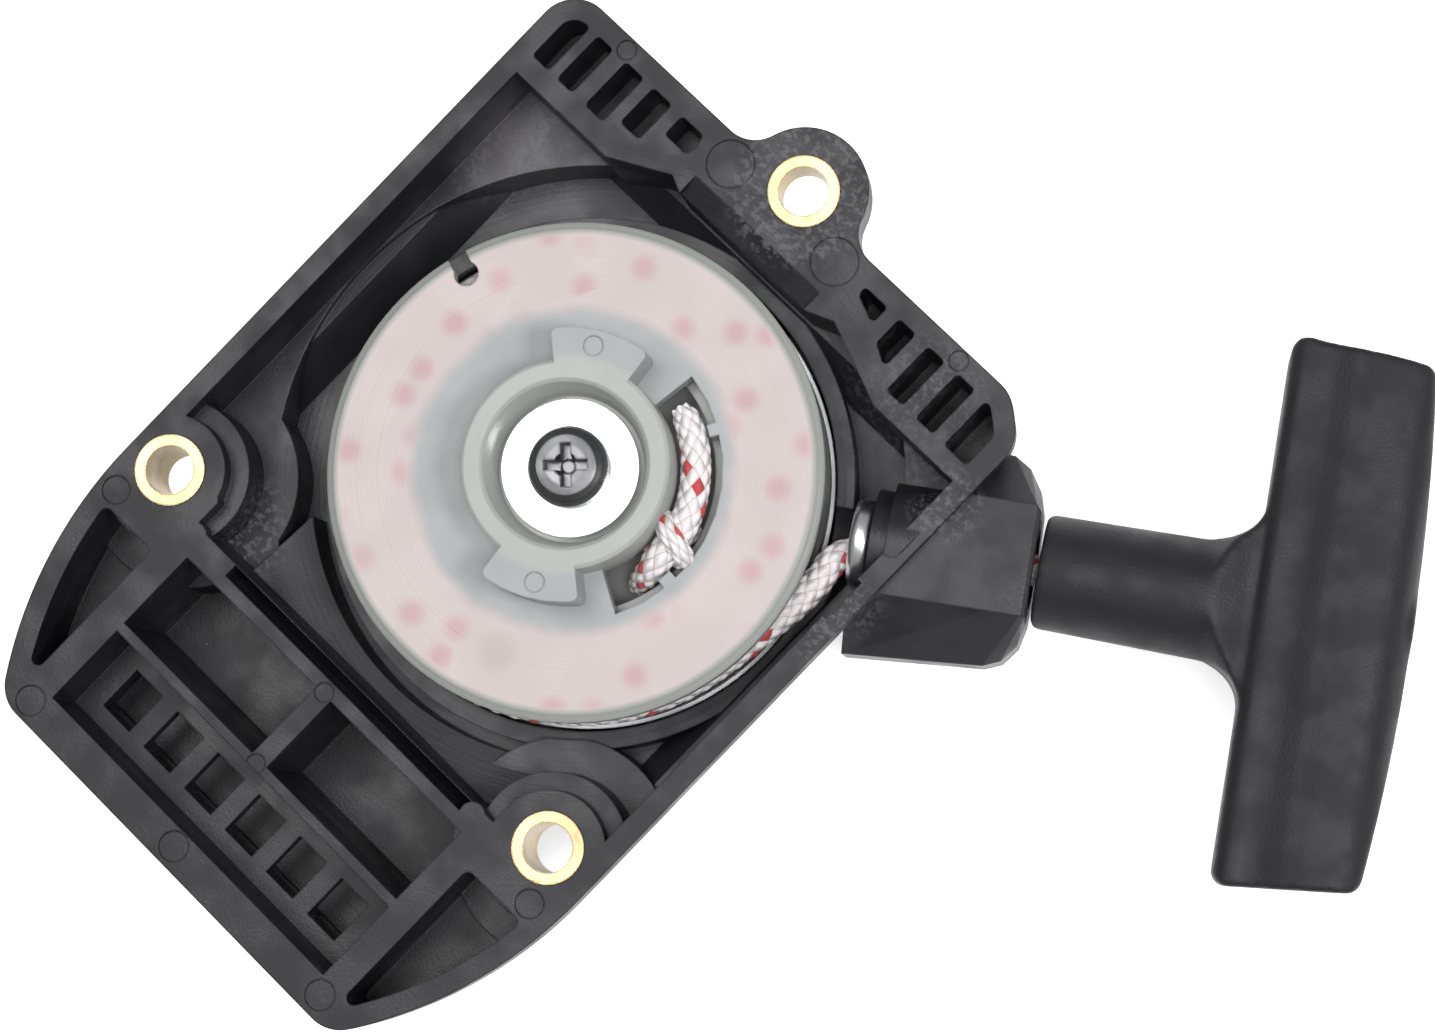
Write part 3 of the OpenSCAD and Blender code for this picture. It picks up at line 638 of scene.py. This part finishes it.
def rope_material(name, straight):
    """The rope's finish, on the braid attribute, or on coordinates along the pull line."""
    material, tree, shader, place = finish_base(name, srgb(225, 216, 218), 0.5, specular=0.45)
    if straight:
        moved = put(tree, "ShaderNodeVectorMath", {0: place, 1: PULL_ORIGIN}, operation="SUBTRACT")
        back_turn = {"Vector": moved.outputs["Vector"], "Angle": -PULL_ANGLE}
        straightened = put(tree, "ShaderNodeVectorRotate", back_turn)
        axes = put(tree, "ShaderNodeSeparateXYZ", {"Vector": straightened.outputs["Vector"]}).outputs
        cosine, sine, along = axes["Y"], axes["Z"], axes["X"]
    else:
        stored = put(tree, "ShaderNodeAttribute", attribute_name="braid")
        axes = put(tree, "ShaderNodeSeparateXYZ", {"Vector": stored.outputs["Vector"]}).outputs
        cosine, sine, along = axes["X"], axes["Y"], axes["Z"]
    strand = use(tree, weave, Cosine=cosine, Sine=sine, Along=along)
    fibres = {"Vector": place, "Scale": FIBRE_SCALE, "Detail": 2.0}
    fibre = put(tree, "ShaderNodeTexNoise", fibres).outputs["Fac"]
    grubby = calc(tree, "MULTIPLY", flecked(tree, place, size=2.2, cover=0.5, soft=0.3), 0.5)
    colour = paint(tree, grubby, srgb(246, 240, 241), srgb(226, 216, 218))
    # Painted shade: the gaps between strands, where the braid is low, are painted a darker grey.
    colour = paint(tree, fade(tree, strand["Height"], 0.42, 0.02), colour, srgb(204, 193, 196))
    colour = paint(tree, strand["Tracer"], colour, srgb(200, 36, 40))
    colour = paint(tree, calc(tree, "MULTIPLY", fibre, 0.25), colour, srgb(170, 160, 162))
    fill(tree, shader.inputs["Base Color"], colour)
    relief(tree, shader, calc(tree, "MULTIPLY_ADD", fibre, 0.35, strand["Height"]), STRAND_BUMP)
    shader.inputs["Sheen Weight"].default_value = 0.2
    return material


rope_braid = rope_material("rope_braid", straight=False)
rope_drawn = rope_material("rope_drawn", straight=True)
print("rope materials", rope_braid.name, rope_drawn.name)

# %% [markdown]
# ## Finishes for the CAD pieces
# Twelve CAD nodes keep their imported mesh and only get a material. One table pairs them, so
# a finish is changed in one place. The other nodes are made anew in the cells that follow.

# %% Finish the CAD nodes
FINISHES = {
    housing_nylon: ("housing",),
    metals["collar_brass"]: ("collar_left", "collar_right", "collar_top", "post_insert"),
    metals["zinc_plate"]: ("reel_washer", "knot_washer"),
    metals["screw_zinc"]: ("reel_screw",),
    metals["pressed_steel"]: ("spring_case",),
    metals["cover_steel"]: ("spring_cover",),
    metals["spring_steel"]: ("recoil_spring",),
    reel_nylon: ("reel",),
}
for material, members in FINISHES.items():
    for member in members:
        nodes[member].data.materials.clear()
        nodes[member].data.materials.append(material)
print("finished", sum(len(m) for m in FINISHES.values()), "nodes")

# %% [markdown]
# ## A cord that braids itself
# A rope follows a path, so Geometry Nodes make it: the path is cut to even lengths, a circle
# is swept along it, and each point is pushed out by the braid recipe. The angle and the
# length along the rope are stored for the material. Diameter and relief are inputs, so the
# same tree makes the lead, the winding and both knots.

# %% Cord tree
cord_tree = bpy.data.node_groups.new("braided_cord", "GeometryNodeTree")
cord_tree.interface.new_socket("Geometry", in_out="INPUT", socket_type="NodeSocketGeometry")
CORD_INPUTS = {
    "Diameter": 3.5 * MM,
    "Relief": 0.25 * MM,
    "Step": 0.25 * MM,
    "Strands": STRANDS,
    "Pitch": PITCH,
}
SIDES = 36
for label, value in CORD_INPUTS.items():
    cord_tree.interface.new_socket(label, in_out="INPUT", socket_type=FLOAT).default_value = value
cord_tree.interface.new_socket("Sides", in_out="INPUT", socket_type="NodeSocketInt").default_value = SIDES
cord_tree.interface.new_socket("Material", in_out="INPUT", socket_type="NodeSocketMaterial")
cord_tree.interface.new_socket("Geometry", in_out="OUTPUT", socket_type="NodeSocketGeometry")
inlet = cord_tree.nodes.new("NodeGroupInput").outputs
outlet = cord_tree.nodes.new("NodeGroupOutput").inputs


def keep_value(tree, geometry, value):
    """Captures a number on every point; returns the geometry and the kept number."""
    node = tree.nodes.new("GeometryNodeCaptureAttribute")
    node.capture_items.new("FLOAT", "Kept")
    tree.links.new(geometry, node.inputs[0])
    tree.links.new(value, node.inputs[1])
    return node.outputs[0], node.outputs[1]


cut = {"Curve": inlet["Geometry"], "Length": inlet["Step"]}
even = put(cord_tree, "GeometryNodeResampleCurve", cut, mode="LENGTH")
spline = put(cord_tree, "GeometryNodeSplineParameter")
path, along = keep_value(cord_tree, even.outputs["Curve"], spline.outputs["Length"])
ring = put(cord_tree, "GeometryNodeCurvePrimitiveCircle", {
    "Resolution": inlet["Sides"],
    "Radius": calc(cord_tree, "MULTIPLY", inlet["Diameter"], 0.5),
})
round_part = put(cord_tree, "GeometryNodeSplineParameter")
angle = calc(cord_tree, "MULTIPLY", round_part.outputs["Factor"], TAU)
ring, cosine = keep_value(cord_tree, ring.outputs["Curve"], calc(cord_tree, "COSINE", angle))
ring, sine = keep_value(cord_tree, ring, calc(cord_tree, "SINE", angle))
thickness = put(cord_tree, "GeometryNodeInputRadius").outputs["Radius"]
swept = put(cord_tree, "GeometryNodeCurveToMesh", {
    "Curve": path, "Profile Curve": ring, "Scale": thickness, "Fill Caps": True,
})
height = braid(cord_tree, cosine, sine, along, inlet["Strands"], inlet["Pitch"])[0]
outward = put(cord_tree, "GeometryNodeInputNormal").outputs["Normal"]
push = calc(cord_tree, "MULTIPLY", calc(cord_tree, "SUBTRACT", height, 1.0), inlet["Relief"])
offset = put(cord_tree, "ShaderNodeVectorMath", {0: outward, "Scale": push}, operation="SCALE")
raised = put(cord_tree, "GeometryNodeSetPosition", {
    "Geometry": swept.outputs["Mesh"], "Offset": offset.outputs["Vector"],
})
stored = put(cord_tree, "ShaderNodeCombineXYZ", {"X": cosine, "Y": sine, "Z": along})
named = put(cord_tree, "GeometryNodeStoreNamedAttribute", {
    "Geometry": raised.outputs["Geometry"], "Name": "braid", "Value": stored.outputs["Vector"],
}, data_type="FLOAT_VECTOR")
smooth = put(cord_tree, "GeometryNodeSetShadeSmooth", {"Geometry": named.outputs["Geometry"]})
solid = put(cord_tree, "GeometryNodeRealizeInstances", {"Geometry": smooth.outputs["Geometry"]})
dressed = put(cord_tree, "GeometryNodeSetMaterial", {
    "Geometry": solid.outputs["Geometry"], "Material": inlet["Material"],
})
cord_tree.links.new(dressed.outputs["Geometry"], outlet["Geometry"])
print("cord tree has", len(cord_tree.nodes), "nodes")

# %% [markdown]
# ## Running a tree on a path
# A path is a Bezier curve through a few points, which are easy to read and to move. The tree
# runs on it as a modifier, and its result is kept as a plain mesh, which is then told what
# it moves with, and the CAD nodes it stands for are hidden.

# %% Run a tree on a path
def run_tree(name, source, tree, values):
    """Evaluates a geometry tree on an object and returns its result as a plain mesh object."""
    bpy.context.scene.collection.objects.link(source)
    modifier = source.modifiers.new("tree", "NODES")
    modifier.node_group = tree
    for item in tree.interface.items_tree:
        if item.in_out == "INPUT" and item.name in values:
            modifier[item.identifier] = values[item.name]
    depsgraph = bpy.context.evaluated_depsgraph_get()
    mesh = bpy.data.meshes.new_from_object(source.evaluated_get(depsgraph), depsgraph=depsgraph)
    source.modifiers.remove(modifier)
    bpy.data.objects.remove(source)
    mesh.name = name
    piece = bpy.data.objects.new(name, mesh)
    bpy.context.scene.collection.objects.link(piece)
    return piece


def path_curve(points, radii=None):
    """A smooth curve through points given in millimetres, with a thickness factor at each."""
    curve = bpy.data.curves.new("path", "CURVE")
    curve.dimensions = "3D"
    curve.twist_mode = "MINIMUM"
    line = curve.splines.new("BEZIER")
    line.bezier_points.add(len(points) - 1)
    for index, (knot, point) in enumerate(zip(line.bezier_points, points)):
        knot.co = Vector(point) * MM
        knot.handle_left_type = knot.handle_right_type = "AUTO"
        knot.radius = radii[index] if radii else 1.0
    return bpy.data.objects.new("path", curve)


def braided(name, points, radii=None, material=rope_braid, **values):
    """A braided cord along points in millimetres."""
    values["Material"] = material
    piece = run_tree(name, path_curve(points, radii), cord_tree, values)
    print(name, len(piece.data.polygons), "faces")
    return piece


def attach(piece, body, slot, *stands_for):
    """Sets what a finished piece moves with and hides the CAD nodes it stands for; slot is not used."""
    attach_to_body(piece, body)
    if stands_for:
        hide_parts(*stands_for)


print("pull line starts at", [round(v / MM, 2) for v in PULL_ORIGIN], "mm")

# %% [markdown]
# ## Rope on the reel
# The rope fills the groove in three layers, a rope's width apart, and each layer lies on the
# one below. The path is one long helix that climbs, comes down again and ends level. The
# winding turns with the reel, so it rides on it.

# %% Winding
LAYERS = [  # radius, height at the start and at the end in millimetres, turns
    (18.9, -8.5, -4.2, 2.0),
    (22.1, -4.2, -8.5, 2.0),
    (25.0, -8.5, -8.5, 1.2),
]
POINTS_PER_TURN = 24
winding_points = []
turned_so_far = 0.0
for layer_radius, z_start, z_end, turns in LAYERS:
    count = int(turns * POINTS_PER_TURN)
    for step in range(count):
        part = step / count
        angle = turned_so_far + part * turns * TAU
        winding_points.append((
            layer_radius * math.cos(angle),
            layer_radius * math.sin(angle),
            z_start + (z_end - z_start) * part,
        ))
    turned_so_far += turns * TAU
winding = braided("winding", winding_points, Step=0.55 * MM, Sides=24)
attach(winding, "reel_body", "rope_braid", "rope_winding")

# %% [markdown]
# ## Rope lead
# From the outer turn the rope runs round under the flange's edge, bends down into the eyelet
# and goes straight into the guide. It is held all the way, so it is a plain piece. Its first
# end is tucked in by a fraction of a millimetre, to leave the turns it meets clear.

# %% Lead
PULL = Vector((math.cos(PULL_ANGLE), math.sin(PULL_ANGLE), 0.0))
LEAD_RADIUS = 26.2
LEAD_Z = -4.6
LEAD_FROM = -86
LEAD_TO = -10
TUCK_FROM = -60
TUCK = 0.3
BEND = [
    (26.9, 2.6, -5.0), (27.3, 7.0, -5.6), (27.2, 10.4, -6.1),
    (26.9, 13.0, -6.5), (27.8, 14.8, -6.8), (29.7, 16.6, -7.0),
]


def on_pull_line(s):
    """The point at s millimetres along the pull line, in millimetres."""
    return tuple(PULL_ORIGIN / MM + PULL * s)


lead_points = []
for degrees in range(LEAD_FROM, LEAD_TO + 1, 4):
    angle = math.radians(degrees)
    tucked = max(0, TUCK_FROM - degrees) / (TUCK_FROM - LEAD_FROM)
    lead_radius = LEAD_RADIUS - TUCK * tucked ** 2
    lead_points.append((lead_radius * math.cos(angle), lead_radius * math.sin(angle), LEAD_Z))
lead_points += BEND + [on_pull_line(s) for s in (-15.0, -12.0)]
lead = braided("rope_to_eyelet", lead_points)
attach(lead, "starter_body", "rope_braid", "rope_lead")

# %% [markdown]
# ## Rope drawn with the handle
# One straight stretch joins the guide to the handle. It is made along the pull line and left
# where it is, with no body to move with. Its mesh is a smooth tube with many rings along it,
# and the braid on it comes from its material.

# %% Drawn rope
HOLD_S = 12.0
drawn_points = [on_pull_line(s) for s in (-HOLD_S, -6.0, 0.0, 6.0, HOLD_S)]
drawn = braided(
    "rope_drawn", drawn_points, material=rope_drawn, Relief=0.0, Step=0.2 * MM, Diameter=3.4 * MM,
)
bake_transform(drawn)

# %% [markdown]
# ## Eyelet
# The chromed eyelet is a turned ring: a bull nose that the rope slides over, a short skirt
# and a barrel pressed into the guide. Chrome shows every facet, so the profile is spun in
# ninety-six steps about the pull line instead of using the coarser CAD mesh.

# %% Eyelet
ACROSS = Vector((-PULL.y, PULL.x, 0.0))
UP = Vector((0.0, 0.0, 1.0))


def round_pull_line(turn):
    """The direction away from the pull line at an angle round it."""
    return ACROSS * math.cos(turn) + UP * math.sin(turn)


def spun_ring(name, profile, centre_s, steps, material):
    """Spins a closed profile of (along, radius) pairs in millimetres about the pull line."""
    points = []
    for step in range(steps):
        outwards = round_pull_line(step / steps * TAU)
        for along, radius in profile:
            points.append((Vector(on_pull_line(centre_s + along)) + outwards * radius) * MM)
    count = len(profile)
    faces = []
    for step in range(steps):
        this = step * count
        after = (step + 1) % steps * count
        for index in range(count):
            following = (index + 1) % count
            faces.append((this + index, this + following, after + following, after + index))
    mesh = bpy.data.meshes.new(name)
    mesh.from_pydata(points, [], faces)
    shape = bmesh.new()
    shape.from_mesh(mesh)
    bmesh.ops.recalc_face_normals(shape, faces=shape.faces)
    shape.to_mesh(mesh)
    shape.free()
    mesh.shade_smooth()
    mesh.materials.append(material)
    piece = bpy.data.objects.new(name, mesh)
    bpy.context.scene.collection.objects.link(piece)
    return piece


EYELET_S = -19.8
EYELET_STEPS = 96
NOSE_RADIUS = 4.0
NOSE_ROUND = 1.04
NOSE_STEPS = 16
SKIRT = [
    (0.5, 5.03), (0.9, 5.0), (1.1, 4.85), (1.15, 4.6),
    (1.15, 3.8), (1.3, 3.6), (2.5, 3.6), (4.1, 3.6),
]
BARREL = [(4.2, 3.5), (4.2, 3.15), (4.1, 3.02), (2.5, 2.98), (0.6, 2.96)]
nose = []
for step in range(NOSE_STEPS + 1):
    turn = math.pi * step / NOSE_STEPS
    nose.append((-NOSE_ROUND * math.sin(turn), NOSE_RADIUS - NOSE_ROUND * math.cos(turn)))
profile = nose + SKIRT + BARREL
eyelet = spun_ring("eyelet_ring", profile, EYELET_S, EYELET_STEPS, metals["eyelet_chrome"])
attach(eyelet, "starter_body", "eyelet_chrome", "rope_eyelet")
print("eyelet faces", len(eyelet.data.polygons))

# %% [markdown]
# ## Knot on the reel
# The reel's knot lies in the window of the hub: the tail comes up through the hole and lies
# along the window, and one wrap of the rope goes round it. The wrap is a short helix, and
# both are paths for the same cord tree.

# %% Reel knot
TAIL = [
    (13.2, -4.0, -6.3), (13.3, -3.4, -4.2), (13.6, -2.2, -2.2), (13.6, -0.6, -0.8), (13.5, 1.2, -0.3),
    (13.3, 3.2, -0.4), (12.6, 5.2, -0.5), (11.5, 7.2, -0.6), (10.1, 9.0, -0.7), (8.2, 10.8, -0.9),
    (6.4, 12.0, -1.1), (4.8, 12.7, -1.3), (3.5, 13.1, -1.4),
]
TAIL_THICKNESS = [0.8, 0.8, 0.9, 1.0, 1.0, 1.0, 1.0, 1.0, 1.0, 1.0, 0.95, 0.9, 0.6]
WRAP_CENTRE = (13.4, 0.2, -0.6)
WRAP_RADIUS = 2.2
WRAP_CLIMB = 0.28
WRAP_START = -150
WRAP_STEP = 32
WRAP_POINTS = 15
tail = braided("knot_tail", TAIL, TAIL_THICKNESS)
attach(tail, "reel_body", "rope_braid", "rope_reel_knot")
wrap_points = []
for step in range(WRAP_POINTS):
    angle = math.radians(WRAP_START + WRAP_STEP * step)
    wrap_points.append((
        WRAP_CENTRE[0] + WRAP_RADIUS * math.cos(angle),
        WRAP_CENTRE[1] + WRAP_CLIMB * step,
        WRAP_CENTRE[2] + WRAP_RADIUS * math.sin(angle),
    ))
wrap = braided("knot_turn", wrap_points, Diameter=2.5 * MM, Relief=0.2 * MM)
attach(wrap, "reel_body", "rope_braid")

# %% [markdown]
# ## Rope and knot in the handle
# Inside the stem the rope runs straight to the pocket of the grip. The knot sits there on
# its washer: two turns round the pull line that sway to and fro along it, so that they
# cross. Both go with the handle.

# %% Handle run and knot
run_points = [on_pull_line(s) for s in (HOLD_S, 17.0, 22.0, 27.0)]
run = braided("rope_in_handle", run_points)
attach(run, "handle_body", "rope_braid", "rope_handle_run")
KNOT_S = 30.1
KNOT_RADIUS = 1.9
KNOT_TURNS = 2
KNOT_STEPS = 36
SWAY = 1.5
SWAYS_PER_TURN = 1.5
loop_points = []
for step in range(KNOT_STEPS + 1):
    angle = step / KNOT_STEPS * KNOT_TURNS * TAU
    centre = Vector(on_pull_line(KNOT_S)) + PULL * (SWAY * math.sin(angle * SWAYS_PER_TURN))
    loop_points.append(tuple(centre + round_pull_line(angle) * KNOT_RADIUS))
handle_knot = braided("rope_knot_in_handle", loop_points, Diameter=2.8 * MM)
attach(handle_knot, "handle_body", "rope_braid", "rope_handle_knot")

# %% [markdown]
# ## Grip
# The grip is one moulding: a bar, a stem and soft fillets between them. The CAD solid has the
# right form with crisp edges, so a copy of it and of its plug is merged, remeshed into small
# even faces and relaxed, which rounds every edge the way a mould does.

# %% Grip
VOXEL = 0.35 * MM
WELD_GAP = 0.002 * MM
RELAX_FACTOR = 0.5
RELAX_ROUNDS = 14
shape = bmesh.new()
shape.from_mesh(nodes["handle_grip"].data)
shape.from_mesh(nodes["handle_cap"].data)
grip_mesh = bpy.data.meshes.new("grip_source")
shape.to_mesh(grip_mesh)
shape.free()
grip_source = bpy.data.objects.new("grip_source", grip_mesh)
bpy.context.scene.collection.objects.link(grip_source)
weld = grip_source.modifiers.new("weld", "WELD")
weld.merge_threshold = WELD_GAP
remesh = grip_source.modifiers.new("remesh", "REMESH")
remesh.mode = "VOXEL"
remesh.voxel_size = VOXEL
relax = grip_source.modifiers.new("relax", "SMOOTH")
relax.factor = RELAX_FACTOR
relax.iterations = RELAX_ROUNDS
depsgraph = bpy.context.evaluated_depsgraph_get()
grip_result = bpy.data.meshes.new_from_object(grip_source.evaluated_get(depsgraph), depsgraph=depsgraph)
bpy.data.objects.remove(grip_source)
grip_result.name = "grip"
grip_result.materials.clear()
grip_result.materials.append(handle_nylon)
grip_result.shade_smooth()
grip = bpy.data.objects.new("grip", grip_result)
bpy.context.scene.collection.objects.link(grip)
attach(grip, "handle_body", "handle_nylon", "handle_grip", "handle_cap")
print("grip faces", len(grip_result.polygons))
